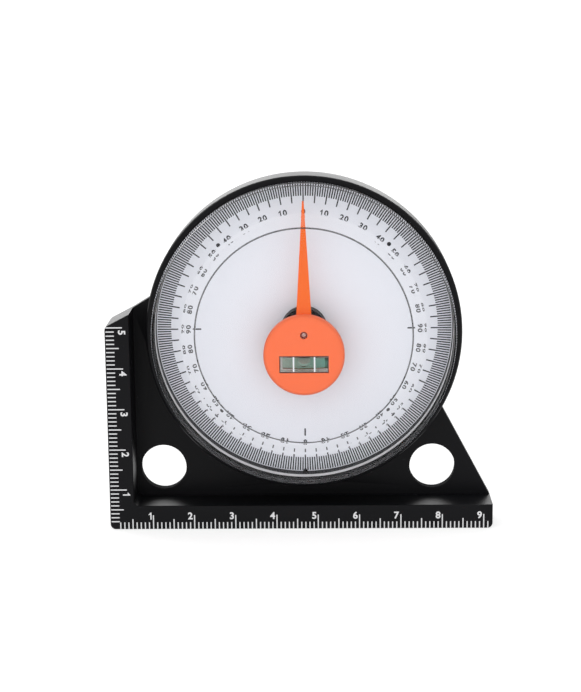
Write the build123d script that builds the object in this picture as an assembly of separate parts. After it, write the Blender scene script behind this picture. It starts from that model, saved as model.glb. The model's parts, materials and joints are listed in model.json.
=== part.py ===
from build123d import *
import math
import os

# A pendulum angle level: an L-shaped ruler body carries a round dial case, and a weighted needle
# hangs free in the case. Magnets in the grooved base hold it on steel.
# Millimetres. +Z is up, the dial faces -Y, and the origin is the middle of the footprint.

# Moulded body
BODY_WIDTH = 92.7  # along the base ruler
BODY_DEPTH = 11.5  # from the ruler faces to the flat back
RAIL_FACE = 5.9  # width of both ruler faces
PLATE = 2.3  # panel behind the rulers, and floor of the dial case
LEG_HEIGHT = 50.1  # outer edge of the upright ruler
LEG_SLOPE = 27.5  # degrees, the slanted top of the upright ruler
SHOULDER_SLOPE = 31.5  # degrees, the panel's edge from the upright ruler to the case
LEAN = 28.0  # degrees from upright, the long edge on the right
CORNER_R = 1.3  # outer corners of the rulers
INNER_CORNER_R = 1.2  # corner between the two rulers
EDGE_R = 0.4  # rounding along the ruler faces
PANEL_EDGE_R = 0.3
ROOT_BEVEL = 0.6  # where the case wall meets the panel
SAME_DEPTH = 0.01  # tolerance when the edges of one face are picked

# Dial case
DIAL_X = 1.05  # dial axis, from the middle of the body
DIAL_Z = 47.9  # dial axis above the base
CASE_R = 37.7
CASE_WALL = 1.4
RIM_HEIGHT = 7.3  # rim above the panel
RIM_BEVEL = 0.45
BOSS_R = 5.5
BOSS_HEIGHT = 3.7
BOSS_CORE_OUTER = 4.1  # ring that cores the boss from behind
BOSS_CORE_INNER = 2.2
BOSS_CORE_DEPTH = 4.0
LEDGE_WIDTH = 0.5  # ledge round the inside of the wall, the seat of the clear cover
LEDGE_HEIGHT = 3.35  # above the floor of the case
KEY_WIDTH = 1.2  # rib at the foot of the case that keeps the card from turning
KEY_HEIGHT = 0.9

# Hanging holes
HOLE_R = 5.55
HOLE_Z = 13.2
LEFT_HOLE = 12.5  # its centre, from the left end of the body
RIGHT_HOLE = 14.2  # its centre, from the right end

# Grooved magnetic base
GROOVE_MOUTH = 8.0
GROOVE_ROOT = 5.4
GROOVE_DEPTH = 1.3
MAGNET_WIDTH = 5.0
MAGNET_HEIGHT = 2.5
MAGNET_MARGIN = 9.35  # from the ends of the body to the outer magnets
MAGNET_SPACING = 7.0  # between two magnets
MAGNET_NAMES = ["left", "middle", "right"]
MAGNET_EDGE = 0.3
POCKET_GAP = 0.1

# Cored back of the upright ruler
CORE_WALL = 1.8
CORE_FLOOR = 2.0
CORE_LENGTH = 38.0
CORE_RIB = 1.6
CORE_CELLS = 4

# Dial card and its adhesive
CARD = 0.5
CARD_GAP = 0.1
GLUE = 0.1
GLUE_MARGIN = 2.5
BOSS_GAP = 0.1
NOTCH_GAP = 0.1

# Clear cover: a flat cap, with a shallow ring in its front that is deepest at its inner edge
LENS_RISE = 3.65  # front above the rim
LENS_WALL = 1.2
LENS_BEVEL = 0.3
LENS_GAP = 0.1
SKIRT = 0.5  # side wall, down to the ledge
RING_MARGIN = 7.4  # from the cover's edge in to the ring
RING_WIDTH = 3.0
RING_DEPTH = 0.45
RING_STEP = 0.12  # run of the steep inner side

# Axle through the boss, with a washer on each side of the pendulum and a push-on clip
PIN_R = 0.75
PIN_DEPTH = 4.2  # pressed into the boss
PIN_PRESS = 0.01
PIN_CHAMFER = 0.2
PIN_PROUD = 0.6  # beyond the clip
WASHER = 0.3
WASHER_R = 1.6
WASHER_GAP = 0.05
END_PLAY = 0.1
CLIP = 0.4
CLIP_R = 1.7
CLIP_SLOTS = 3
CLIP_SLOT = 0.35

# Pendulum: needle plate behind, cover in front, brass bush on the axle
DISC_R = 9.7
DISC_DROP = 5.0  # centre of the disc below the axle
NEEDLE_PLATE = 0.8
NEEDLE_STEP = 0.2  # the plate's disc is this much smaller than the cover
NEEDLE_CLEARANCE = 4.7  # from the tip to the case wall
NEEDLE_ROOT = 4.1
NEEDLE_TIP = 0.4
COLLAR_R = 2.3
REAR_COLLAR = 1.65  # behind the plate
BUSH_R = 1.3
BUSH_LENGTH = 3.2
RUN_GAP = 0.05  # between the axle and the bush
COVER_DEPTH = 2.7
COVER_FRONT = 0.8
COVER_WALL = 1.0
COVER_BEVEL = 0.75
SOCKET_WALL = 0.8
SEAT_GAP = 0.05
PIN_HOLE_GAP = 0.15

# Small spirit vial in the disc
VIAL_LENGTH = 11.7
VIAL_HEIGHT = 4.05
VIAL_DEPTH = 4.0
VIAL_DROP = 7.05  # below the axle
VIAL_INSET = 0.15  # behind the cover's face
VIAL_EDGE_R = 0.15
CRADLE_WALL = 0.8
BARREL_R = 1.55
BARREL_END = 0.7
BARREL_CROWN = 0.2  # the barrel is this much wider at its middle
PLUG_LENGTH = 0.9
PLUG_HEAD = 0.2
PLUG_HEAD_R = 1.75
LIQUID_GAP = 0.01
BUBBLE_LENGTH = 2.5
BUBBLE_DEPTH = 2.25

# Counterweight below the vial
WEIGHT_GAP = 0.1
WEIGHT_EDGE = 0.25

# Places that follow from the sizes above
LEFT = -BODY_WIDTH / 2
RIGHT = BODY_WIDTH / 2
BACK_Y = (PLATE + RIM_HEIGHT + LENS_RISE) / 2
PANEL_Y = BACK_Y - PLATE
RULER_Y = BACK_Y - BODY_DEPTH
RIM_Y = PANEL_Y - RIM_HEIGHT
LENS_Y = RIM_Y - LENS_RISE
LEDGE_Y = PANEL_Y - LEDGE_HEIGHT
CARD_Y = PANEL_Y - GLUE - CARD
BOSS_Y = PANEL_Y - BOSS_HEIGHT
CUP_R = CASE_R - CASE_WALL
LENS_R = CUP_R - LENS_GAP
RING_OUTER_R = LENS_R - RING_MARGIN
RING_INNER_R = RING_OUTER_R - RING_WIDTH
LEDGE_R = CUP_R - LEDGE_WIDTH
CARD_R = LEDGE_R - CARD_GAP
PENDULUM_Y = BOSS_Y - WASHER - END_PLAY
PLATE_BACK_Y = PENDULUM_Y - REAR_COLLAR
NEEDLE_Y = PLATE_BACK_Y - NEEDLE_PLATE
NEEDLE_LENGTH = CUP_R - NEEDLE_CLEARANCE
COVER_Y = NEEDLE_Y - COVER_DEPTH
COVER_INSIDE_Y = COVER_Y + COVER_FRONT
BUSH_Y = PENDULUM_Y - BUSH_LENGTH
FRONT_WASHER_Y = BUSH_Y - END_PLAY - WASHER
CLIP_Y = FRONT_WASHER_Y - CLIP
PIN_Y = CLIP_Y - PIN_PROUD
DISC_Z = DIAL_Z - DISC_DROP
VIAL_Z = DIAL_Z - VIAL_DROP
VIAL_FRONT_Y = COVER_Y + VIAL_INSET
VIAL_END = VIAL_LENGTH / 2
CHAMBER_START = -VIAL_END + BARREL_END
CHAMBER_END = VIAL_END - PLUG_LENGTH
GROOVE_Y = BACK_Y - BODY_DEPTH / 2
MAGNET_RUN = BODY_WIDTH - 2 * MAGNET_MARGIN + MAGNET_SPACING
MAGNET_PITCH = MAGNET_RUN / len(MAGNET_NAMES)
MAGNET_LENGTH = MAGNET_PITCH - MAGNET_SPACING
LEG_INNER = (LEFT + RAIL_FACE, LEG_HEIGHT + RAIL_FACE * math.tan(math.radians(LEG_SLOPE)))
ACROSS = Axis((DIAL_X, 0, DIAL_Z), (0, 1, 0))


def facing(y, x=0.0, z=0.0):
    """Sketch plane at depth y that faces the viewer: local x is +X and local y is +Z."""
    return Plane((x, y, z), x_dir=(1, 0, 0), z_dir=(0, -1, 0))


def dial_plane(y):
    return facing(y, DIAL_X, DIAL_Z)


def disc(radius, y_front, y_back, plane=dial_plane):
    """Cylinder between two depths, on the dial axis unless another plane is given."""
    return extrude(plane(y_back) * Circle(radius), y_back - y_front)


def tube(outer, inner, y_front, y_back, plane=dial_plane):
    return disc(outer, y_front, y_back, plane) - disc(inner, y_front, y_back, plane)


def turned(points):
    """Solid turned about the dial axis from (radius, depth) points."""
    return revolve(Plane((DIAL_X, 0, DIAL_Z)) * make_face(Polyline(*points, close=True)), ACROSS)


def ruler_outline():
    """L-shaped face of the two rulers, with the slanted top of the upright one."""
    points = [
        (LEFT, 0),
        (RIGHT, 0),
        (RIGHT, RAIL_FACE),
        (LEFT + RAIL_FACE, RAIL_FACE),
        LEG_INNER,
        (LEFT, LEG_HEIGHT),
    ]
    radii = [CORNER_R, CORNER_R, 0, INNER_CORNER_R, 0, CORNER_R]
    return make_face(FilletPolyline(*points, radius=radii, close=True))


def nearest_to_dial(start, degrees):
    """Point of a slanted edge that lies nearest to the dial axis, so it is hidden in the case."""
    first = Vector(*start)
    along = Vector(1, 0).rotate(Axis.Z, degrees)
    return first + along * (Vector(DIAL_X, DIAL_Z) - first).dot(along)


def panel_outline():
    """Panel behind the rulers. Both slanted edges run on until they are well inside the dial case."""
    points = [
        (LEFT, 0),
        (RIGHT, 0),
        (RIGHT, RAIL_FACE),
        nearest_to_dial((RIGHT, RAIL_FACE), 90 + LEAN),
        nearest_to_dial(LEG_INNER, SHOULDER_SLOPE),
        LEG_INNER,
        (LEFT, LEG_HEIGHT),
    ]
    radii = [CORNER_R, CORNER_R, 0, 0, 0, 0, CORNER_R]
    return make_face(FilletPolyline(*points, radius=radii, close=True))


def front_edges(solid, y):
    """Edges of a solid that lie in the plane at depth y."""
    return solid.edges().filter_by(lambda edge: abs(edge.bounding_box().max.Y - y) < SAME_DEPTH).filter_by(
        lambda edge: abs(edge.bounding_box().min.Y - y) < SAME_DEPTH
    )


def case_wall():
    """Dial case with a bevelled rim, down to the back of the panel."""
    return turned([
        (CUP_R, BACK_Y),
        (CUP_R, RIM_Y),
        (CASE_R - RIM_BEVEL, RIM_Y),
        (CASE_R, RIM_Y + RIM_BEVEL),
        (CASE_R, BACK_Y),
    ])


def case_root():
    """Bevel round the case, where the panel meets it."""
    reach = CASE_R + ROOT_BEVEL
    inside = CASE_R - CASE_WALL / 2
    points = [
        (inside, BACK_Y),
        (inside, PANEL_Y - ROOT_BEVEL),
        (CASE_R, PANEL_Y - ROOT_BEVEL),
        (reach, PANEL_Y),
        (reach, BACK_Y),
    ]
    return turned(points) & extrude(facing(BACK_Y) * panel_outline(), BODY_DEPTH)


def card_key(gap=0.0):
    """Small triangular rib at the foot of the ledge. With a gap it is the notch around it."""
    half = KEY_WIDTH / 2 + gap
    top = KEY_HEIGHT + gap
    foot = -CUP_R - CASE_WALL / 2
    points = [(-half, foot), (half, foot), (half, -LEDGE_R), (0, -LEDGE_R + top), (-half, -LEDGE_R)]
    profile = make_face(Polyline(*points, close=True))
    return extrude(dial_plane(PANEL_Y) * profile, PANEL_Y - CARD_Y)


def hanging_holes():
    spots = [LEFT + LEFT_HOLE, RIGHT - RIGHT_HOLE]
    return [extrude(facing(BACK_Y, x, HOLE_Z) * Circle(HOLE_R), PLATE) for x in spots]


def base_groove():
    """Trapezoid groove along the base, for tubes, with the magnet faces at its root."""
    section = make_face(
        Polyline(
            (GROOVE_Y - GROOVE_MOUTH / 2, 0),
            (GROOVE_Y - GROOVE_ROOT / 2, GROOVE_DEPTH),
            (GROOVE_Y + GROOVE_ROOT / 2, GROOVE_DEPTH),
            (GROOVE_Y + GROOVE_MOUTH / 2, 0),
            close=True,
        )
    )
    return extrude(Plane((LEFT, 0, 0), x_dir=(0, 1, 0), z_dir=(1, 0, 0)) * section, BODY_WIDTH)


def magnet_places():
    """Centres of the magnets, spread evenly between the margins at both ends."""
    first = LEFT + MAGNET_MARGIN + MAGNET_LENGTH / 2
    return [first + index * MAGNET_PITCH for index in range(len(MAGNET_NAMES))]


def magnet_pockets():
    pocket = Box(
        MAGNET_LENGTH + 2 * POCKET_GAP,
        MAGNET_WIDTH + 2 * POCKET_GAP,
        MAGNET_HEIGHT + POCKET_GAP,
        align=(Align.CENTER, Align.CENTER, Align.MIN),
    )
    return [Pos(x, GROOVE_Y, GROOVE_DEPTH) * pocket for x in magnet_places()]


def back_cores():
    """Cells that core the upright ruler from behind, with ribs between them."""
    cell = (CORE_LENGTH - (CORE_CELLS - 1) * CORE_RIB) / CORE_CELLS
    width = RAIL_FACE - 2 * CORE_WALL
    depth = BODY_DEPTH - CORE_FLOOR
    first = RAIL_FACE + cell / 2
    return [
        Pos(LEFT + RAIL_FACE / 2, BACK_Y - depth / 2, first + index * (cell + CORE_RIB))
        * Box(width, depth, cell)
        for index in range(CORE_CELLS)
    ]


def housing():
    """One moulding: rulers, panel, dial case with its ledge, and boss."""
    rulers = extrude(facing(BACK_Y) * ruler_outline(), BODY_DEPTH)
    rulers = fillet(front_edges(rulers, RULER_Y), EDGE_R)
    panel = extrude(facing(BACK_Y) * panel_outline(), PLATE)
    panel = fillet(front_edges(panel, PANEL_Y), PANEL_EDGE_R)
    body = panel + rulers + case_root() + case_wall()
    body -= disc(CUP_R, RIM_Y, PANEL_Y)
    body += disc(CUP_R, PANEL_Y, BACK_Y)
    body += tube(CASE_R - CASE_WALL / 2, LEDGE_R, LEDGE_Y, PANEL_Y)
    body += disc(BOSS_R, BOSS_Y, BACK_Y)
    body += card_key()
    body -= hanging_holes()
    body -= base_groove()
    body -= magnet_pockets()
    body -= back_cores()
    body -= tube(BOSS_CORE_OUTER, BOSS_CORE_INNER, BACK_Y - BOSS_CORE_DEPTH, BACK_Y)
    body -= disc(PIN_R + PIN_PRESS, BOSS_Y, BOSS_Y + PIN_DEPTH)
    return body


def magnet(x):
    bar = Box(
        MAGNET_LENGTH,
        MAGNET_WIDTH,
        MAGNET_HEIGHT,
        align=(Align.CENTER, Align.CENTER, Align.MIN),
    )
    bar = chamfer(bar.edges().filter_by(Axis.Z), MAGNET_EDGE)
    return Pos(x, GROOVE_Y, GROOVE_DEPTH) * bar


def card_adhesive():
    return tube(CARD_R - GLUE_MARGIN, BOSS_R + GLUE_MARGIN, PANEL_Y - GLUE, PANEL_Y)


def dial_card():
    return tube(CARD_R, BOSS_R + BOSS_GAP, CARD_Y, PANEL_Y - GLUE) - card_key(NOTCH_GAP)


def lens():
    """Clear cap that stands on the ledge. The ring in its front falls steeply and rises outwards."""
    ceiling_y = LENS_Y + LENS_WALL
    return turned([
        (0, LENS_Y),
        (RING_INNER_R, LENS_Y),
        (RING_INNER_R + RING_STEP, LENS_Y + RING_DEPTH),
        (RING_OUTER_R, LENS_Y),
        (LENS_R - LENS_BEVEL, LENS_Y),
        (LENS_R, LENS_Y + LENS_BEVEL),
        (LENS_R, LEDGE_Y),
        (LENS_R - SKIRT, LEDGE_Y),
        (LENS_R - SKIRT, ceiling_y),
        (0, ceiling_y),
    ])


def axle_pin():
    pin = disc(PIN_R, PIN_Y, BOSS_Y + PIN_DEPTH)
    return chamfer(front_edges(pin, PIN_Y), PIN_CHAMFER)


def rear_washer():
    return tube(WASHER_R, PIN_R + WASHER_GAP, BOSS_Y - WASHER, BOSS_Y)


def front_washer():
    return tube(WASHER_R, PIN_R + WASHER_GAP, FRONT_WASHER_Y, FRONT_WASHER_Y + WASHER)


def axle_clip():
    """Push-on clip whose slotted inner edge grips the axle."""
    clip = tube(CLIP_R, PIN_R + PIN_PRESS, CLIP_Y, CLIP_Y + CLIP)
    slot = Pos(0, (PIN_R + CLIP_R) / 2 - CLIP_SLOT) * Rectangle(CLIP_SLOT, CLIP_R - PIN_R)
    for index in range(CLIP_SLOTS):
        turn = Rot(0, 0, index * 360 / CLIP_SLOTS)
        clip -= extrude(dial_plane(CLIP_Y + CLIP) * turn * slot, CLIP)
    return clip


def bearing_bush():
    return tube(BUSH_R, PIN_R + RUN_GAP, BUSH_Y, PENDULUM_Y)


def needle_plate():
    """Needle with its disc, the collar that carries the bush, and a window for the vial."""
    blade = make_face(
        Polyline(
            (-NEEDLE_ROOT / 2, 0),
            (NEEDLE_ROOT / 2, 0),
            (NEEDLE_TIP / 2, NEEDLE_LENGTH),
            (-NEEDLE_TIP / 2, NEEDLE_LENGTH),
            close=True,
        )
    )
    outline = blade + Pos(0, -DISC_DROP) * Circle(DISC_R - NEEDLE_STEP)
    plate = extrude(dial_plane(PLATE_BACK_Y) * outline, NEEDLE_PLATE)
    plate += disc(COLLAR_R, BUSH_Y, PENDULUM_Y)
    plate -= disc(BUSH_R, BUSH_Y, PENDULUM_Y)
    plate -= vial_box(SEAT_GAP, NEEDLE_Y, PLATE_BACK_Y)
    return plate


def vial_box(margin, y_front, y_back):
    """Block round the vial's outline, wider by a margin on every side."""
    outline = Rectangle(VIAL_LENGTH + 2 * margin, VIAL_HEIGHT + 2 * margin)
    return extrude(facing(y_back, DIAL_X, VIAL_Z) * outline, y_back - y_front)


def disc_plane(y):
    return facing(y, DIAL_X, DISC_Z)


def pendulum_cover():
    """Round front of the pendulum: a shallow cup with a vial cradle and a socket for the collar."""
    cup = disc(DISC_R, COVER_Y, NEEDLE_Y, disc_plane)
    cup = chamfer(front_edges(cup, COVER_Y), COVER_BEVEL)
    cup -= disc(DISC_R - COVER_WALL, COVER_INSIDE_Y, NEEDLE_Y, disc_plane)
    cradle = vial_box(SEAT_GAP + CRADLE_WALL, COVER_INSIDE_Y, NEEDLE_Y)
    cup += cradle & disc(DISC_R, COVER_Y, NEEDLE_Y, disc_plane)
    socket_r = COLLAR_R + SEAT_GAP
    cup += disc(socket_r + SOCKET_WALL, COVER_INSIDE_Y, NEEDLE_Y)
    cup -= disc(socket_r, COVER_INSIDE_Y, NEEDLE_Y)
    cup -= disc(PIN_R + PIN_HOLE_GAP, COVER_Y, COVER_INSIDE_Y)
    cup -= vial_box(SEAT_GAP, COVER_Y, NEEDLE_Y)
    return cup


def rod(radius, start, end):
    """Cylinder along the X axis."""
    return extrude(Plane((start, 0, 0), z_dir=(1, 0, 0)) * Circle(radius), end - start)


def barrel(gap=0.0):
    """Chamber along the vial, a little wider in its middle. With a gap it is the liquid in it."""
    start = CHAMBER_START + gap
    end = CHAMBER_END - gap
    crown = BARREL_R - gap
    outline = [
        (start, 0),
        (start, crown - BARREL_CROWN),
        ((start + end) / 2, crown),
        (end, crown - BARREL_CROWN),
        (end, 0),
    ]
    return revolve(make_face(Polyline(*outline, close=True)), Axis.X)


def in_vial(solid):
    """Moves a shape made about the X axis to the vial's own axis."""
    return Pos(DIAL_X, VIAL_FRONT_Y + VIAL_DEPTH / 2, VIAL_Z) * solid


def vial_block():
    """Clear block with the chamber, the bore for the plug and a seat for its head."""
    block = Box(VIAL_LENGTH, VIAL_DEPTH, VIAL_HEIGHT)
    block = fillet(block.edges().filter_by(Axis.X), VIAL_EDGE_R)
    block -= barrel()
    block -= rod(BARREL_R - BARREL_CROWN, CHAMBER_END, VIAL_END)
    block -= rod(PLUG_HEAD_R, VIAL_END - PLUG_HEAD, VIAL_END)
    return in_vial(block)


def vial_plug():
    shank = rod(BARREL_R - BARREL_CROWN - LIQUID_GAP, CHAMBER_END, VIAL_END)
    head = rod(PLUG_HEAD_R - LIQUID_GAP, VIAL_END - PLUG_HEAD, VIAL_END)
    return in_vial(shank + head)


def vial_liquid():
    """Liquid with the bubble left open at the top of the barrel."""
    bubble_r = ((BUBBLE_LENGTH / 2) ** 2 + BUBBLE_DEPTH**2) / (2 * BUBBLE_DEPTH)
    middle = Pos(0, 0, BARREL_R - BUBBLE_DEPTH + bubble_r)
    bubble = middle * Rot(90, 0, 0) * Cylinder(bubble_r, 2 * BARREL_R)
    return in_vial(barrel(LIQUID_GAP) - bubble)


def counterweight():
    """Steel segment that fills the foot of the cover, below the vial's cradle."""
    top = VIAL_Z - VIAL_HEIGHT / 2 - SEAT_GAP - CRADLE_WALL - WEIGHT_GAP
    radius = DISC_R - COVER_WALL - WEIGHT_GAP
    y_front = COVER_INSIDE_Y + WEIGHT_GAP
    y_back = NEEDLE_Y - WEIGHT_GAP
    segment = disc(radius, y_front, y_back, disc_plane)
    above = Pos(DIAL_X, (y_front + y_back) / 2, top) * Box(
        2 * DISC_R, BODY_DEPTH, 2 * DISC_R, align=(Align.CENTER, Align.CENTER, Align.MIN)
    )
    return chamfer(front_edges(segment - above, y_front), WEIGHT_EDGE)


def pieces():
    made = {
        "housing": housing(),
        "card_adhesive": card_adhesive(),
        "dial_card": dial_card(),
        "lens": lens(),
        "axle_pin": axle_pin(),
        "rear_washer": rear_washer(),
        "front_washer": front_washer(),
        "axle_clip": axle_clip(),
        "bearing_bush": bearing_bush(),
        "needle_plate": needle_plate(),
        "pendulum_cover": pendulum_cover(),
        "counterweight": counterweight(),
        "vial_block": vial_block(),
        "vial_liquid": vial_liquid(),
        "vial_plug": vial_plug(),
    }
    for name, x in zip(MAGNET_NAMES, magnet_places()):
        made[f"magnet_{name}"] = magnet(x)
    return made


os.makedirs("parts", exist_ok=True)
for node, solid in pieces().items():
    solid.label = node
    export_step(solid, f"parts/{node}.step")
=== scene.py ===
import json
import math

import bmesh
import bpy
from mathutils import Matrix, Vector


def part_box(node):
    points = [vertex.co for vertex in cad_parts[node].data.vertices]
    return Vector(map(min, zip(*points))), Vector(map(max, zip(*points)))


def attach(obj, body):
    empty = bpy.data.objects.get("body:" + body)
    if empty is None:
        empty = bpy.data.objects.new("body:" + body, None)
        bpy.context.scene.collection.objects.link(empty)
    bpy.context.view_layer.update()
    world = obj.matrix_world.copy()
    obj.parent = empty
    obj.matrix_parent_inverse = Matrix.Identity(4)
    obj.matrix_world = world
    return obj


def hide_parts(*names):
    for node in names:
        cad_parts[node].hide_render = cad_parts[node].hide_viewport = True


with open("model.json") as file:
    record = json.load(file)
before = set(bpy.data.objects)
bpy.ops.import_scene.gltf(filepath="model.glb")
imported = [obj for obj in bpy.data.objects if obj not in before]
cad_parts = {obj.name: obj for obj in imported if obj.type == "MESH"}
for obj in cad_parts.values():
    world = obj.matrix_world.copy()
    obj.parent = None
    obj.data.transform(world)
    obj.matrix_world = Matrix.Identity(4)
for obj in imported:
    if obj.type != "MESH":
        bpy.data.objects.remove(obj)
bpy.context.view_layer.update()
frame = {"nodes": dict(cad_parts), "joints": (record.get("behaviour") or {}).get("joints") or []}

# A pendulum angle level: black L-shaped body with two rulers, a round dial under a clear cover,
# and an orange needle with a small vial. Lengths below are millimetres, and MM turns them into metres.
MM = 0.001

# Camera, in the frame of the object
CAMERA_PLACE = Vector((6.92, -407.885, 129.82))
CAMERA_PITCH = 11.835  # degrees below level
CAMERA_YAW = -1.286
CAMERA_ROLL = -0.613
CAMERA_LENS = 90.3
CAMERA_SENSOR = 36.0
CAMERA_CLIP = (10, 100000)

# Places read from the frame
DIAL_AXIS = Vector(frame["joints"][0]["pos_m"]) / MM
CARD_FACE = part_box("dial_card")[0].y / MM
CASE_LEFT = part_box("housing")[0].x / MM
RULER_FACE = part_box("housing")[0].y / MM
COVER_LOW, COVER_HIGH = (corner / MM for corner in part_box("lens"))
RIM_FRONT = RULER_FACE + 1.9  # front of the rim round the cover
VIAL_LOW, VIAL_HIGH = (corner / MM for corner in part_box("vial_block"))

# Printed marks
INK = 0.03  # thickness of a printed mark
INK_SUNK = 0.01  # part of it below the printed face
DEGREES = 360
HALF_TURN = DEGREES // 2
RIGHT_ANGLE = DEGREES // 4
MINOR_TICK = (32.2, 35.5)  # inner and outer radius
MAJOR_TICK = (30.5, 35.5)
DIAL_TICK_WIDTH = 0.3
DIAL_NUMERAL_STEP = 10  # degrees from numeral to numeral
DIAL_NUMERAL = 1.5
DIAL_NUMERAL_R = 28.42
DOT_R = 0.5
DOT_PLACE_R = 28.9
DOT_STEPS = 24
INDEX_MARK = (24.9, 26.7)
INDEX_WIDTH = 0.35
CENTIMETRE = 10
RULER_ZERO = -45.85  # zero of the base ruler
BASE_LENGTH = 91
UPRIGHT_LENGTH = 50
RULER_TICK_WIDTH = 0.27
BASE_TICKS = (1.7, 2.5, 3.5)  # millimetres, five millimetres, centimetres
UPRIGHT_TICKS = (2.0, 3.05, 3.95)
BASE_INSET = 0.1  # from the edge of the ruler
UPRIGHT_INSET = 0.3
FIRST_TICK = 2  # the corner between the rulers is bare
BASE_NUMERAL = 1.8
BASE_NUMERAL_Z = 3.4
BASE_NUMERAL_GAP = 0.3
UPRIGHT_NUMERAL = 1.8
UPRIGHT_NUMERAL_X = 4.15
UPRIGHT_NUMERAL_DROP = 1.15
VIAL_LINE_X = 2.5  # either side of the bubble, from the middle of the vial
VIAL_LINE_WIDTH = 0.36
# Width of the painted shade line round the vial's face; the white lines stop short of it.
SHADE_LINE_WIDTH = 0.22

# Round holes, whose walls are left dull
BORES = ((-33.85, 13.2), (32.15, 13.2))
BORE_R = 5.65
DULL_ROUGHNESS = 0.95

# Numerals
ADVANCE = 0.78  # from digit to digit, as a share of their height
BOLD = 0.03  # stroke thickened by this share of the letter size
LETTER_STEPS = 4
# Outline of a figure one with a flag and no foot, as shares of the height of a numeral
ONE = (
    (-0.03, 0),
    (0.14, 0),
    (0.14, 1),
    (0.02, 1),
    (-0.08, 0.86),
    (-0.24, 0.76),
    (-0.24, 0.61),
    (-0.03, 0.71),
)

# Clear cover
RING_INNER_R = 25.65
RING_STEP = 0.36  # run of the ring's inner side
RING_DEPTH = 0.17
CREST_R = 28.18  # the ring's floor curves up to a crest here
CREST_DEPTH = 0.02
CREST_SIDE = 0.04  # narrow strip either side of the crest, so it stays crisp
FLOOR_STEPS = 6
FALL_SLOPE = 0.3  # outside the crest the front falls away, straight at first
FALL_END_R = 28.5
FLAT_START_R = 29.2  # and runs out into the flat rim of the cap here
FALL_STEPS = 6
COVER_WALL = 1.2
SKIRT = 0.5
FOOT_START = 0.3
FOOT_HEIGHT = 2.4  # inner foot of the side wall, a white haze lit by the lamps; its white is a painted highlight for the bright ring at the cap's edge
COVER_EDGE_R = 0.5
INNER_EDGE_R = 0.3
BEND_STEPS = 6
TURN_STEPS = 256
NEAR = 0.01  # radii closer than this are the same wall
ON_AXIS = 1e-6

# Edges
WELD_DISTANCE = 0.002
SHARP_ANGLE = 50.0
FLAT_WEIGHT = 100  # large faces keep their own normals

# Surfaces
RELIEF = 0.01  # height of the grain in a surface
MOTTLE = 0.04  # slow waves of tone in a millimetre of moulded plastic
TONE_GLOSS = 0.12  # spread of its roughness with the tone
GRAIN_GLOSS = 0.06  # spread of its roughness with the grain
MOULD_RELIEF = 0.35  # strength of each finish's relief
CARD_RELIEF = 0.1
METAL_RELIEF = 0.15
SPIRIT_SHADE = (0.5, 0.72, 0.64)

# Studio, in metres. A light has a place, a width, a height and a radiance.
LIGHT_TARGET = (0, 0, 0.045)
LIGHTS = {
    "rear_light": ((-0.5, 1.6, 0.55), 2.4, 0.9, 1.85),
    "key_light": ((-0.7, -0.3, 1.1), 0.7, 0.7, 1.15),
    "arc_light": ((-1.0, 0.6, 0.75), 0.5, 0.5, 4.0),
}
SURROUND = 1.12
FLOOR_REACH = 12.0
FLOOR_TONE = 0.45
FLOOR_GLOW = 0.6


class Wire:
    """A node's output that takes part in Python arithmetic."""

    def __init__(self, maker, socket):
        self.maker = maker
        self.socket = socket

    def math(self, operation, first, second):
        return self.maker.node("ShaderNodeMath", {"operation": operation}, {0: first, 1: second})

    def __add__(self, other):
        return self.math("ADD", self, other)

    def __sub__(self, other):
        return self.math("SUBTRACT", self, other)

    def __rsub__(self, other):
        return self.math("SUBTRACT", other, self)

    def __mul__(self, other):
        return self.math("MULTIPLY", self, other)

    def __mod__(self, other):
        return self.math("MODULO", self, other)

    def __lt__(self, other):
        return self.math("LESS_THAN", self, other)

    def __gt__(self, other):
        return self.math("GREATER_THAN", self, other)

    __radd__ = __add__
    __rmul__ = __mul__


class Maker:
    """Adds nodes to one tree."""

    def __init__(self, tree):
        self.tree = tree

    def node(self, kind, settings=None, inputs=None, output=0):
        """Makes a node, sets it up, then gives its sockets their values or links."""
        made = self.tree.nodes.new(kind)
        for name, value in (settings or {}).items():
            setattr(made, name, value)
        for name, value in (inputs or {}).items():
            if isinstance(value, Wire):
                self.tree.links.new(value.socket, made.inputs[name])
            else:
                made.inputs[name].default_value = value
        return Wire(self, made.outputs[output]) if len(made.outputs) else made


# Finishes


def noise(maker, scale, detail=2.0, roughness=0.5):
    """Noise over the object's own coordinates. The scale counts waves in a millimetre."""
    place = maker.node("ShaderNodeTexCoord", output="Object")
    sizes = {"Vector": place, "Scale": scale / MM, "Detail": detail, "Roughness": roughness}
    return maker.node("ShaderNodeTexNoise", inputs=sizes)


def around(middle, wave, spread):
    """Value that noise moves about its middle."""
    return middle + (wave - 0.5) * spread


def blend_colour(maker, share, first, second):
    """Mix of two colours by a share from 0 to 1."""
    settings = {"data_type": "RGBA"}
    inputs = {"Factor": share, 6: (*first, 1), 7: (*second, 1)}
    return maker.node("ShaderNodeMix", settings, inputs, output=2)


def relief(maker, height, strength):
    """Normal with a fine relief from a height."""
    inputs = {"Strength": strength, "Distance": RELIEF * MM, "Height": height}
    return maker.node("ShaderNodeBump", inputs=inputs)


def principled(maker, inputs):
    return maker.node("ShaderNodeBsdfPrincipled", inputs=inputs)


def finish(name, surface):
    """Material whose shader is made by a function of its node maker."""
    material = bpy.data.materials.new(name)
    material.use_nodes = True
    material.node_tree.nodes.clear()
    maker = Maker(material.node_tree)
    maker.node("ShaderNodeOutputMaterial", inputs={"Surface": surface(maker)})
    return material


def in_bores(maker):
    """1 on the walls of the two round holes, 0 elsewhere."""
    place = maker.node("ShaderNodeTexCoord", output="Object")
    mask = 0
    for x, z in BORES:
        flat = maker.node("ShaderNodeVectorMath", {"operation": "MULTIPLY"}, {0: place, 1: (1, 0, 1)})
        ends = {0: flat, 1: (x * MM, 0, z * MM)}
        distance = maker.node("ShaderNodeVectorMath", {"operation": "DISTANCE"}, ends, output="Value")
        mask = (distance < BORE_R * MM) + mask
    return mask


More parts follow.
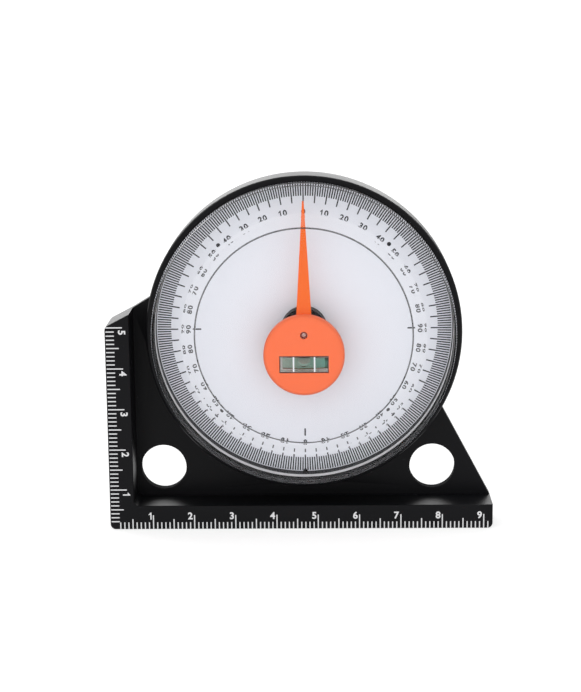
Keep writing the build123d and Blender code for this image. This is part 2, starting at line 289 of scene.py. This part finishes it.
def moulded(dark, light, roughness, grain, specular=0.5, dull=None):
    """Moulded plastic: fine grain in the mould, a slow change of gloss, and a slight change of tone.
    It is rough where the mask that dull makes is 1."""

    def surface(maker):
        tone = noise(maker, MOTTLE, detail=3.0)
        fine = noise(maker, grain)
        gloss = around(around(roughness, tone, TONE_GLOSS), fine, GRAIN_GLOSS)
        if dull:
            gloss = gloss + dull(maker) * (DULL_ROUGHNESS - roughness)
        inputs = {
            "Base Color": blend_colour(maker, tone, dark, light),
            "Roughness": gloss,
            "Specular IOR Level": specular,
            "Normal": relief(maker, fine, MOULD_RELIEF),
        }
        return principled(maker, inputs)

    return surface


def printed_card(maker):
    """White card with a faint paper fibre."""
    fibre = noise(maker, 2.5, detail=4.0)
    inputs = {
        "Base Color": blend_colour(maker, fibre, (0.8, 0.81, 0.858), (0.83, 0.84, 0.882)),
        "Roughness": around(0.55, fibre, 0.1),
        "Normal": relief(maker, fibre, CARD_RELIEF),
    }
    return principled(maker, inputs)


def ink(dark, light):
    """Printed ink, a little uneven where it wets the surface."""

    def surface(maker):
        wet = noise(maker, 2.0, detail=3.0)
        inputs = {
            "Base Color": blend_colour(maker, wet, dark, light),
            "Roughness": around(0.5, wet, 0.2),
            "Specular IOR Level": 0.2,
        }
        return principled(maker, inputs)

    return surface


def lit_through(maker, glass, tint):
    """Lets shadow rays and scattered light through a clear finish, so what it covers is lit."""
    shadow = maker.node("ShaderNodeLightPath", output="Is Shadow Ray")
    scattered = maker.node("ShaderNodeLightPath", output="Is Diffuse Ray")
    through = maker.node("ShaderNodeBsdfTransparent", inputs={"Color": (*tint, 1)})
    passes = shadow.math("MAXIMUM", shadow, scattered)
    return maker.node("ShaderNodeMixShader", inputs={0: passes, 1: glass, 2: through})


def clear(tint, index):
    """Clear plastic with a tint and an index of refraction."""

    def surface(maker):
        inputs = {
            "Base Color": (*tint, 1),
            "Roughness": 0.0,
            "IOR": index,
            "Transmission Weight": 1.0,
        }
        return lit_through(maker, principled(maker, inputs), tint)

    return surface


def hazy(tone, alpha, roughness):
    """Haze on the edges of the clear cover: a light mould haze on its side wall, dark painted shade at
    the window's step and on the wall proud of the rim, and a white painted highlight at its inner foot.
    """

    def surface(maker):
        cloud = noise(maker, 0.6, detail=3.0)
        inputs = {
            "Base Color": (tone, tone, tone, 1),
            "Roughness": around(roughness, cloud, 0.1),
            "Alpha": around(alpha, cloud, alpha * 0.3),
        }
        return principled(maker, inputs)

    return surface


def spirit(maker):
    """Green liquid, deeper in colour towards one end of the vial."""
    place = maker.node("ShaderNodeTexCoord", output="Object")
    apart = maker.node("ShaderNodeSeparateXYZ", inputs={0: place})
    across = (apart - VIAL_LOW.x * MM) * (1 / ((VIAL_HIGH.x - VIAL_LOW.x) * MM))
    inputs = {
        "Base Color": blend_colour(maker, across, (0.9, 0.95, 0.92), (0.46, 0.93, 0.86)),
        "Roughness": 0.0,
        "IOR": 1.25,
        "Transmission Weight": 1.0,
    }
    return lit_through(maker, principled(maker, inputs), SPIRIT_SHADE)


def metal(dark, light, roughness):
    """Turned or drawn metal with fine tool marks."""

    def surface(maker):
        marks = noise(maker, 1.5, detail=6.0, roughness=0.7)
        inputs = {
            "Base Color": blend_colour(maker, marks, dark, light),
            "Metallic": 1.0,
            "Roughness": around(roughness, marks, 0.15),
            "Normal": relief(maker, marks, METAL_RELIEF),
        }
        return principled(maker, inputs)

    return surface


SURFACES = {
    "case_plastic": moulded(
        (0.004, 0.004, 0.0045), (0.0055, 0.0055, 0.0068), 0.36, 3.0, specular=0.095, dull=in_bores
    ),
    "pendulum_plastic": moulded((0.87, 0.145, 0.045), (0.92, 0.165, 0.055), 0.42, 4.0, specular=0.2),
    "needle_plastic": moulded((0.84, 0.125, 0.01), (0.89, 0.145, 0.016), 0.42, 4.0, specular=0.15),
    "dial_card_white": printed_card,
    "dial_ink": ink((0.02, 0.02, 0.024), (0.035, 0.035, 0.04)),
    "ruler_ink": ink((0.62, 0.62, 0.63), (0.7, 0.7, 0.71)),
    "vial_line_ink": ink((0.74, 0.74, 0.75), (0.82, 0.82, 0.83)),
    "cover_plastic": clear((0.985, 0.99, 1.0), 1.2),
    "cover_ring": clear((0.985, 0.99, 1.0), 1.49),
    # Painted shade: a nearly black ring on the window's step draws the dark line that refraction makes
    # at the window's edge.
    "cover_step_painted_shade": hazy(0.02, 0.82, 0.3),
    "cover_edge": clear((0.9, 0.9, 0.92), 1.15),
    # Painted shade: a dark haze on the wall standing proud of the rim dims the white card seen through
    # it.
    "cover_proud_painted_shade": hazy(0.05, 0.6, 0.4),
    "cover_side": hazy(0.4, 0.02, 0.3),
    # Painted highlight: a white haze at the inner foot, lit by the lamps, makes the bright ring of the
    # cap's edge.
    "cover_foot_painted_highlight": hazy(0.85, 0.75, 0.5),
    "vial_plastic": clear((0.83, 0.95, 0.9), 1.1),
    # Painted shade: dark brown ink for the line of shade round the recessed vial's face.
    "vial_painted_shade": ink((0.055, 0.022, 0.016), (0.09, 0.04, 0.03)),
    "vial_spirit": spirit,
    "axle_steel": metal((0.42, 0.3, 0.27), (0.58, 0.43, 0.39), 0.5),
    "bush_brass": metal((0.62, 0.42, 0.16), (0.78, 0.56, 0.24), 0.32),
    "weight_steel": metal((0.22, 0.29, 0.26), (0.32, 0.4, 0.37), 0.55),
    "washer_nylon": moulded((0.74, 0.72, 0.66), (0.8, 0.78, 0.73), 0.45, 3.0),
    "plug_rubber": moulded((0.1, 0.2, 0.17), (0.14, 0.25, 0.21), 0.7, 5.0),
    "card_glue": moulded((0.66, 0.64, 0.58), (0.74, 0.72, 0.67), 0.6, 1.0),
    "magnet_ferrite": moulded((0.025, 0.025, 0.028), (0.05, 0.05, 0.055), 0.6, 2.5),
}
FINISHES = {name: finish(name, surface) for name, surface in SURFACES.items()}

COVER_FINISHES = (
    "cover_plastic",
    "cover_ring",
    "cover_step_painted_shade",
    "cover_edge",
    "cover_proud_painted_shade",
    "cover_side",
    "cover_foot_painted_highlight",
)
NODE_FINISHES = {
    "housing": "case_plastic",
    "dial_card": "dial_card_white",
    "card_adhesive": "card_glue",
    "axle_pin": "axle_steel",
    "rear_washer": "washer_nylon",
    "front_washer": "washer_nylon",
    "axle_clip": "axle_steel",
    "bearing_bush": "bush_brass",
    "needle_plate": "needle_plastic",
    "pendulum_cover": "pendulum_plastic",
    "counterweight": "weight_steel",
    "vial_block": "vial_plastic",
    "vial_liquid": "vial_spirit",
    "vial_plug": "plug_rubber",
    "magnet_left": "magnet_ferrite",
    "magnet_middle": "magnet_ferrite",
    "magnet_right": "magnet_ferrite",
}


# Geometry node trees


def input_tree(name, sockets):
    """Empty geometry tree with named inputs, its maker, and the inputs by name."""
    tree = bpy.data.node_groups.new(name, "GeometryNodeTree")
    tree.interface.new_socket("Geometry", in_out="INPUT", socket_type="NodeSocketGeometry")
    for socket, kind in sockets.items():
        tree.interface.new_socket(socket, in_out="INPUT", socket_type="NodeSocket" + kind)
    tree.interface.new_socket("Geometry", in_out="OUTPUT", socket_type="NodeSocketGeometry")
    maker = Maker(tree)
    entry = maker.node("NodeGroupInput").socket.node
    wires = {socket.name: Wire(maker, socket) for socket in entry.outputs if socket.name}
    return tree, maker, wires


def set_inputs(modifier, values):
    """Gives a modifier's inputs their values by the sockets' identifiers."""
    for item in modifier.node_group.interface.items_tree:
        if item.in_out == "INPUT" and item.name in values:
            modifier[item.identifier] = values[item.name]


def weld_tree():
    """Joins loose triangles and shades them smooth, with edges over an angle kept sharp."""
    tree, maker, wires = input_tree("welded_cad", {"Distance": "Float", "Sharp angle": "Float"})
    plain = maker.node(
        "GeometryNodeRemoveAttribute", inputs={"Geometry": wires["Geometry"], "Name": "custom_normal"}
    )
    joined = maker.node(
        "GeometryNodeMergeByDistance", inputs={"Geometry": plain, "Distance": wires["Distance"]}
    )
    smooth = maker.node("GeometryNodeSetShadeSmooth", inputs={0: joined, 2: True})
    angle = maker.node("GeometryNodeInputMeshEdgeAngle")
    soft = angle < wires["Sharp angle"]
    edged = maker.node("GeometryNodeSetShadeSmooth", {"domain": "EDGE"}, {0: smooth, 2: soft})
    maker.node("NodeGroupOutput", inputs={0: edged})
    return tree


def tick_tree():
    """Row or ring of thin bars from the first wanted one: every nth one, but not every mth one.
    Skip 0 leaves none out."""
    kinds = {
        "Count": "Int",
        "Pitch": "Float",
        "Turn": "Float",
        "Every": "Int",
        "Skip": "Int",
        "First": "Int",
        "Start": "Float",
        "Length": "Float",
        "Width": "Float",
        "Thickness": "Float",
    }
    tree, maker, wires = input_tree("printed_ticks", kinds)
    step = maker.node("ShaderNodeCombineXYZ", inputs={0: wires["Pitch"]})
    row = maker.node("GeometryNodeMeshLine", inputs={"Count": wires["Count"], "Offset": step})
    index = maker.node("GeometryNodeInputIndex")
    kept = index.math("MAXIMUM", index % wires["Skip"] > 0.5, wires["Skip"] < 0.5)
    wanted = (index % wires["Every"] < 0.5) * kept * (index > wires["First"] - 0.5)
    size = maker.node(
        "ShaderNodeCombineXYZ", inputs={0: wires["Width"], 1: wires["Length"], 2: wires["Thickness"]}
    )
    bar = maker.node("GeometryNodeMeshCube", inputs={"Size": size})
    out = maker.node("ShaderNodeCombineXYZ", inputs={1: wires["Start"] + wires["Length"] * 0.5})
    placed = maker.node("GeometryNodeTransform", inputs={"Geometry": bar, "Translation": out})
    turn = maker.node("ShaderNodeCombineXYZ", inputs={2: index * wires["Turn"]})
    bars = maker.node(
        "GeometryNodeInstanceOnPoints",
        inputs={"Points": row, "Selection": wanted, "Instance": placed, "Rotation": turn},
    )
    real = maker.node("GeometryNodeRealizeInstances", inputs={"Geometry": bars})
    maker.node("NodeGroupOutput", inputs={0: real})
    return tree


WELD = weld_tree()
TICKS = tick_tree()


def linked(name, data):
    """New object in the scene."""
    made = bpy.data.objects.new(name, data)
    bpy.context.scene.collection.objects.link(made)
    return made


def as_mesh(source):
    """Plain mesh of an object with its modifiers applied."""
    bpy.context.view_layer.update()
    return bpy.data.meshes.new_from_object(source.evaluated_get(bpy.context.evaluated_depsgraph_get()))


def tick_mesh(**values):
    """Mesh of one row or ring of ticks. Each value sets the input of its name."""
    carrier = linked("tick_carrier", bpy.data.meshes.new("tick_carrier"))
    modifier = carrier.modifiers.new("ticks", "NODES")
    modifier.node_group = TICKS
    set_inputs(modifier, {name.capitalize(): value for name, value in values.items()})
    mesh = as_mesh(carrier)
    bpy.data.objects.remove(carrier)
    return mesh


def on_face(x, z, face):
    """Places a print made in the XY plane on a front face: local +Y is up, +Z is towards the viewer."""
    turn = Matrix(((1, 0, 0), (0, 0, -1), (0, 1, 0))).to_4x4()
    lift = Matrix.Translation((0, 0, INK / 2 - INK_SUNK))
    return Matrix.Translation((x, face, z)) @ turn @ lift


def printed(name, parts, body, kind):
    """One printed piece from (mesh, place) pairs in millimetres, in the ink of a finish."""
    joined = bmesh.new()
    for mesh, place in parts:
        copy = mesh.copy()
        copy.transform(place)
        joined.from_mesh(copy)
        bpy.data.meshes.remove(copy)
    mesh = bpy.data.meshes.new(name)
    joined.transform(Matrix.Scale(MM, 4))
    bmesh.ops.recalc_face_normals(joined, faces=joined.faces)
    joined.to_mesh(mesh)
    joined.free()
    mesh.materials.append(FINISHES[kind])
    piece = linked(name, mesh)
    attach(piece, body)


def plate_mesh(outline, thickness):
    """Flat plate from an outline in the XY plane, centred in its thickness."""
    shape = bmesh.new()
    face = shape.faces.new([shape.verts.new((x, y, -thickness / 2)) for x, y in outline])
    raised = bmesh.ops.extrude_face_region(shape, geom=[face])["geom"]
    corners = [item for item in raised if isinstance(item, bmesh.types.BMVert)]
    bmesh.ops.translate(shape, verts=corners, vec=(0, 0, thickness))
    mesh = bpy.data.meshes.new("plate")
    shape.to_mesh(mesh)
    shape.free()
    return mesh


def font_mesh(digit):
    """Mesh of one digit in Blender's own font, with bolder strokes."""
    curve = bpy.data.curves.new("numeral", "FONT")
    curve.body = digit
    curve.size = 1.0
    curve.offset = BOLD
    curve.extrude = INK / 2
    curve.resolution_u = LETTER_STEPS
    carrier = linked("numeral", curve)
    mesh = as_mesh(carrier)
    bpy.data.objects.remove(carrier)
    return mesh


def reach(mesh, axis):
    places = [vertex.co[axis] for vertex in mesh.vertices]
    return min(places), max(places)


def numeral_mesh(text, height):
    """Mesh of a numeral, centred, with the height of a zero. Its ones have a flag and no foot."""
    low, high = reach(font_mesh("0"), 1)
    grow = height / (high - low)
    whole = bmesh.new()
    for index, digit in enumerate(text):
        if digit == "1":
            mesh = plate_mesh([(x * height, (y - 0.5) * height) for x, y in ONE], INK)
        else:
            mesh = font_mesh(digit)
            left, right = reach(mesh, 0)
            mesh.transform(Matrix.Translation((-(left + right) / 2, -(low + high) / 2, 0)))
            mesh.transform(Matrix.Diagonal((grow, grow, 1, 1)))
        mesh.transform(Matrix.Translation(((index - (len(text) - 1) / 2) * ADVANCE * height, 0, 0)))
        whole.from_mesh(mesh)
        bpy.data.meshes.remove(mesh)
    mesh = bpy.data.meshes.new("numeral")
    whole.to_mesh(mesh)
    whole.free()
    return mesh


def half_width(mesh):
    return reach(mesh, 0)[1]


def dot_mesh():
    """Round dot, centred in its thickness."""
    shape = bmesh.new()
    bmesh.ops.create_cone(
        shape, cap_ends=True, segments=DOT_STEPS, radius1=DOT_R, radius2=DOT_R, depth=INK
    )
    mesh = bpy.data.meshes.new("dot")
    shape.to_mesh(mesh)
    shape.free()
    return mesh


def bar_mesh(width, start, length):
    """One bar that stands out from the middle."""
    return tick_mesh(count=1, every=1, start=start, length=length, width=width, thickness=INK)


def around_dial(degrees, radius):
    """Place on the dial, clockwise from the top, with the top of a print turned outwards."""
    turn = Matrix.Rotation(math.radians(-degrees), 4, "Z")
    return on_face(DIAL_AXIS.x, DIAL_AXIS.z, CARD_FACE) @ turn @ Matrix.Translation((0, radius, 0))


def dial_ticks(name, span, every, skip):
    """Ring of ticks from an inner to an outer radius."""
    mesh = tick_mesh(
        count=DEGREES,
        turn=math.tau / DEGREES,
        every=every,
        skip=skip,
        start=span[0],
        length=span[1] - span[0],
        width=DIAL_TICK_WIDTH,
        thickness=INK,
    )
    printed(name, [(mesh, around_dial(0, 0))], "case", "dial_ink")


def dial_print():
    """Degree ticks, numerals, dots at the half right angles and index marks at the right angles."""
    dial_ticks("degree_ticks", MINOR_TICK, 1, 5)
    dial_ticks("five_degree_ticks", MAJOR_TICK, 5, 0)
    numerals = []
    for degrees in range(0, DEGREES, DIAL_NUMERAL_STEP):
        shown = degrees % HALF_TURN
        shown = min(shown, HALF_TURN - shown)
        numerals.append((numeral_mesh(str(shown), DIAL_NUMERAL), around_dial(degrees, DIAL_NUMERAL_R)))
    printed("dial_numerals", numerals, "case", "dial_ink")
    dot = dot_mesh()
    half_way = range(RIGHT_ANGLE // 2, DEGREES, RIGHT_ANGLE)
    dots = [(dot, around_dial(degrees, DOT_PLACE_R)) for degrees in half_way]
    printed("dial_dots", dots, "case", "dial_ink")
    mark = bar_mesh(INDEX_WIDTH, INDEX_MARK[0], INDEX_MARK[1] - INDEX_MARK[0])
    marks = [(mark, around_dial(degrees, 0)) for degrees in range(0, DEGREES, RIGHT_ANGLE)]
    printed("dial_index_marks", marks, "case", "dial_ink")


def ruler_ticks(count, lengths, inset):
    """Three rows of ticks along +X: millimetres, five millimetres and centimetres."""
    steps = ((1, 5), (5, CENTIMETRE), (CENTIMETRE, 0))
    return [
        tick_mesh(
            count=count + 1,
            pitch=1.0,
            every=every,
            skip=skip,
            first=FIRST_TICK,
            start=inset,
            length=length,
            width=RULER_TICK_WIDTH,
            thickness=INK,
        )
        for (every, skip), length in zip(steps, lengths)
    ]


def ruler_print():
    """White ticks and numerals on both rulers."""
    base = on_face(RULER_ZERO, 0, RULER_FACE)
    rows = [(mesh, base) for mesh in ruler_ticks(BASE_LENGTH, BASE_TICKS, BASE_INSET)]
    printed("base_ruler_ticks", rows, "case", "ruler_ink")
    upright = on_face(CASE_LEFT, 0, RULER_FACE) @ Matrix.Rotation(math.radians(-90), 4, "Z")
    upright = upright @ Matrix.Diagonal((-1, 1, 1, 1))
    rows = [(mesh, upright) for mesh in ruler_ticks(UPRIGHT_LENGTH, UPRIGHT_TICKS, UPRIGHT_INSET)]
    printed("upright_ruler_ticks", rows, "case", "ruler_ink")
    numerals = []
    for centimetre in range(1, BASE_LENGTH // CENTIMETRE + 1):
        mesh = numeral_mesh(str(centimetre), BASE_NUMERAL)
        x = centimetre * CENTIMETRE - RULER_TICK_WIDTH / 2 - BASE_NUMERAL_GAP - half_width(mesh)
        numerals.append((mesh, base @ Matrix.Translation((x, BASE_NUMERAL_Z, 0))))
    printed("base_ruler_numerals", numerals, "case", "ruler_ink")
    numerals = []
    for centimetre in range(1, UPRIGHT_LENGTH // CENTIMETRE + 1):
        z = centimetre * CENTIMETRE - UPRIGHT_NUMERAL_DROP
        place = on_face(CASE_LEFT + UPRIGHT_NUMERAL_X, z, RULER_FACE)
        place = place @ Matrix.Rotation(math.radians(-90), 4, "Z")
        numerals.append((numeral_mesh(str(centimetre), UPRIGHT_NUMERAL), place))
    printed("upright_ruler_numerals", numerals, "case", "ruler_ink")


def vial_print():
    """Two white lines on the vial, either side of the bubble, and a dark painted shade line round its
    face, where the recessed vial's edge lies in shade.
    """
    height = VIAL_HIGH.z - VIAL_LOW.z
    middle = (VIAL_LOW.x + VIAL_HIGH.x) / 2
    line = bar_mesh(VIAL_LINE_WIDTH, SHADE_LINE_WIDTH, height - 2 * SHADE_LINE_WIDTH)
    lines = [
        (line, on_face(middle + x, VIAL_LOW.z, VIAL_LOW.y)) for x in (-VIAL_LINE_X, VIAL_LINE_X)
    ]
    printed("vial_lines", lines, "pendulum", "vial_line_ink")
    upright = bar_mesh(SHADE_LINE_WIDTH, 0, height)
    level = bar_mesh(SHADE_LINE_WIDTH, SHADE_LINE_WIDTH, VIAL_HIGH.x - VIAL_LOW.x - 2 * SHADE_LINE_WIDTH)
    along = Matrix.Rotation(-math.pi / 2, 4, "Z")
    inset = SHADE_LINE_WIDTH / 2
    # Painted shade line round the vial's face, where the window's edge shades it.
    shade_lines = []
    for x in (VIAL_LOW.x + inset, VIAL_HIGH.x - inset):
        shade_lines.append((upright, on_face(x, VIAL_LOW.z, VIAL_LOW.y)))
    for z in (VIAL_LOW.z + inset, VIAL_HIGH.z - inset):
        shade_lines.append((level, on_face(VIAL_LOW.x, z, VIAL_LOW.y) @ along))
    printed("vial_painted_shade", shade_lines, "pendulum", "vial_painted_shade")


def rounded(points, radii):
    """Outline with arcs at the corners that have a radius."""
    outline = []
    for index, (corner, radius) in enumerate(zip(points, radii)):
        corner = Vector(corner)
        if not radius:
            outline.append(corner)
            continue
        back = (Vector(points[index - 1]) - corner).normalized()
        ahead = (Vector(points[(index + 1) % len(points)]) - corner).normalized()
        half = back.angle(ahead) / 2
        centre = corner + (back + ahead).normalized() * (radius / math.sin(half))
        start = corner + back * (radius / math.tan(half)) - centre
        end = corner + ahead * (radius / math.tan(half)) - centre
        for step in range(BEND_STEPS + 1):
            outline.append(centre + start.lerp(end, step / BEND_STEPS).normalized() * radius)
    return outline


def lathe(name, outline, zone, finishes):
    """Closed mesh turned about the dial axis from (radius, depth) points. Both ends lie on the axis.
    A function of radius and depth names each face's finish."""
    shape = bmesh.new()
    rings = []
    for radius, depth in outline:
        if radius < ON_AXIS:
            rings.append([shape.verts.new((DIAL_AXIS.x, depth, DIAL_AXIS.z))])
            continue
        ring = []
        for step in range(TURN_STEPS):
            angle = math.tau * step / TURN_STEPS
            x = DIAL_AXIS.x + radius * math.sin(angle)
            z = DIAL_AXIS.z + radius * math.cos(angle)
            ring.append(shape.verts.new((x, depth, z)))
        rings.append(ring)
    for first, second, start, end in zip(rings, rings[1:], outline, outline[1:]):
        kind = finishes.index(zone((start[0] + end[0]) / 2, (start[1] + end[1]) / 2))
        for step in range(TURN_STEPS):
            after = (step + 1) % TURN_STEPS
            corners = [first[step % len(first)], first[after % len(first)]]
            corners += [second[after % len(second)], second[step % len(second)]]
            face = shape.faces.new(list(dict.fromkeys(corners)))
            face.material_index = kind
            face.smooth = True
    bmesh.ops.recalc_face_normals(shape, faces=shape.faces)
    shape.transform(Matrix.Scale(MM, 4))
    mesh = bpy.data.meshes.new(name)
    shape.to_mesh(mesh)
    shape.free()
    return mesh


def cover_front():
    """Front of the clear cap, from its middle outwards, as (radius, depth below the front) points.
    A small step bounds the window. The ring's floor rises to a crest, and the cap falls away beyond."""
    points = [(0, 0), (RING_INNER_R, 0)]
    floor_start = RING_INNER_R + RING_STEP
    for step in range(FLOOR_STEPS + 1):
        share = step / FLOOR_STEPS
        depth = RING_DEPTH - (RING_DEPTH - CREST_DEPTH) * share**2
        points.append((floor_start + (CREST_R - floor_start) * share, depth))
    end_slope = 2 * (RING_DEPTH - CREST_DEPTH) / (CREST_R - floor_start)
    points.insert(-1, (CREST_R - CREST_SIDE, CREST_DEPTH + end_slope * CREST_SIDE))
    points.append((CREST_R + CREST_SIDE, CREST_DEPTH + FALL_SLOPE * CREST_SIDE))
    fall = CREST_DEPTH + FALL_SLOPE * (FALL_END_R - CREST_R)
    run = FLAT_START_R - FALL_END_R
    for step in range(FALL_STEPS + 1):
        share = step / FALL_STEPS
        points.append((FALL_END_R + run * share, fall + FALL_SLOPE * run * (share - share**2 / 2)))
    return points


def clear_cover():
    """Clear cap in the place of the frame's cover, with softened edges."""
    outer = (COVER_HIGH.x - COVER_LOW.x) / 2
    front = COVER_LOW.y
    back = COVER_HIGH.y
    ceiling = front + COVER_WALL
    points = cover_front()
    flat = front + points[-1][1]
    corners = [((radius, front + depth), 0) for radius, depth in points]
    corners += [
        ((outer, flat), COVER_EDGE_R),
        ((outer, RIM_FRONT), 0),
        ((outer, back), 0),
        ((outer - SKIRT, back), 0),
        ((outer - SKIRT, back - FOOT_START), 0),
        ((outer - SKIRT, back - FOOT_HEIGHT), 0),
        ((outer - SKIRT, ceiling), INNER_EDGE_R),
        ((FLAT_START_R, ceiling), 0),
        ((RING_INNER_R, ceiling), 0),
        ((0, ceiling), 0),
    ]

    def zone(radius, depth):
        """Finish of a face by its place in the cap's section."""
        if radius > outer - COVER_EDGE_R + NEAR and depth < ceiling - INNER_EDGE_R:
            return "cover_edge"
        # Outside faces of the side wall: painted shade where they stand proud of the rim, a faint haze
        # behind it.
        if radius > outer - SKIRT + NEAR:
            return "cover_proud_painted_shade" if depth < RIM_FRONT else "cover_side"
        # The inner foot carries the white painted highlight.
        if radius > outer - SKIRT - NEAR:
            return "cover_foot_painted_highlight" if back - FOOT_HEIGHT < depth < back - FOOT_START else "cover_side"
        # The step's faces carry the painted dark shade line.
        if RING_INNER_R < radius < RING_INNER_R + RING_STEP and depth < ceiling:
            return "cover_step_painted_shade"
        return "cover_ring" if RING_INNER_R < radius < FLAT_START_R else "cover_plastic"

    outline = rounded([place for place, _ in corners], [radius for _, radius in corners])
    piece = linked("clear_cover", lathe("clear_cover", outline, zone, COVER_FINISHES))
    for name in COVER_FINISHES:
        piece.data.materials.append(FINISHES[name])
    smooth_edges(piece)
    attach(piece, "case")
    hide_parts("lens")


def smooth_edges(piece):
    """Joins the triangles of a piece and weights its normals, so flat faces stay flat."""
    weld = piece.modifiers.new("weld", "NODES")
    weld.node_group = WELD
    set_inputs(weld, {"Distance": WELD_DISTANCE * MM, "Sharp angle": math.radians(SHARP_ANGLE)})
    weights = piece.modifiers.new("weighted normals", "WEIGHTED_NORMAL")
    weights.keep_sharp = True
    weights.weight = FLAT_WEIGHT


def dress_nodes():
    """Gives the solids of the frame their finishes and smooth shading."""
    for name, kind in NODE_FINISHES.items():
        piece = frame["nodes"][name]
        for slot in piece.material_slots:
            slot.material = FINISHES[kind]
        smooth_edges(piece)


# Studio


def camera():
    """Camera of the photograph."""
    pitch = math.radians(CAMERA_PITCH)
    yaw = math.radians(CAMERA_YAW)
    ahead = Vector((math.sin(yaw) * math.cos(pitch), math.cos(yaw) * math.cos(pitch), -math.sin(pitch)))
    right = Vector((math.cos(yaw), -math.sin(yaw), 0))
    up = right.cross(ahead)
    turn = Matrix((right, up, -ahead)).transposed().to_4x4()
    turn = turn @ Matrix.Rotation(math.radians(CAMERA_ROLL), 4, "Z")
    lens = bpy.data.cameras.new("camera")
    lens.lens = CAMERA_LENS
    lens.sensor_width = CAMERA_SENSOR
    lens.clip_start, lens.clip_end = (distance * MM for distance in CAMERA_CLIP)
    stand = linked("camera", lens)
    stand.matrix_world = Matrix.Translation(CAMERA_PLACE * MM) @ turn
    bpy.context.scene.camera = stand


def soft_light(name, place, width, height, radiance):
    """Rectangular soft light that points at the object. It isn't seen by the camera itself."""
    light = bpy.data.lights.new(name, "AREA")
    light.shape = "RECTANGLE"
    light.size = width
    light.size_y = height
    light.energy = radiance * math.pi * width * height
    stand = linked(name, light)
    aim = Vector(LIGHT_TARGET) - Vector(place)
    stand.matrix_world = Matrix.Translation(place) @ aim.to_track_quat("-Z", "Y").to_matrix().to_4x4()
    stand.visible_camera = False


def studio():
    """White surroundings and three soft lights."""
    world = bpy.data.worlds.new("studio")
    world.use_nodes = True
    surround = world.node_tree.nodes["Background"]
    surround.inputs["Color"].default_value = (1, 1, 1, 1)
    surround.inputs["Strength"].default_value = SURROUND
    bpy.context.scene.world = world
    for name, values in LIGHTS.items():
        soft_light(name, *values)


def floor_paint(maker):
    inputs = {
        "Base Color": (FLOOR_TONE, FLOOR_TONE, FLOOR_TONE, 1),
        "Roughness": 0.9,
        "Specular IOR Level": 0.0,
        "Emission Color": (1, 1, 1, 1),
        "Emission Strength": FLOOR_GLOW,
    }
    return principled(maker, inputs)


def floor():
    """Plain pale floor."""
    corners = [(x * FLOOR_REACH, y * FLOOR_REACH, 0) for x, y in ((-1, -1), (1, -1), (1, 1), (-1, 1))]
    mesh = bpy.data.meshes.new("floor")
    mesh.from_pydata(corners, [], [(0, 1, 2, 3)])
    mesh.materials.append(finish("floor_white", floor_paint))
    piece = linked("floor", mesh)


bpy.context.scene.view_settings.view_transform = "Standard"
camera()
studio()
floor()
dress_nodes()
clear_cover()
dial_print()
ruler_print()
vial_print()
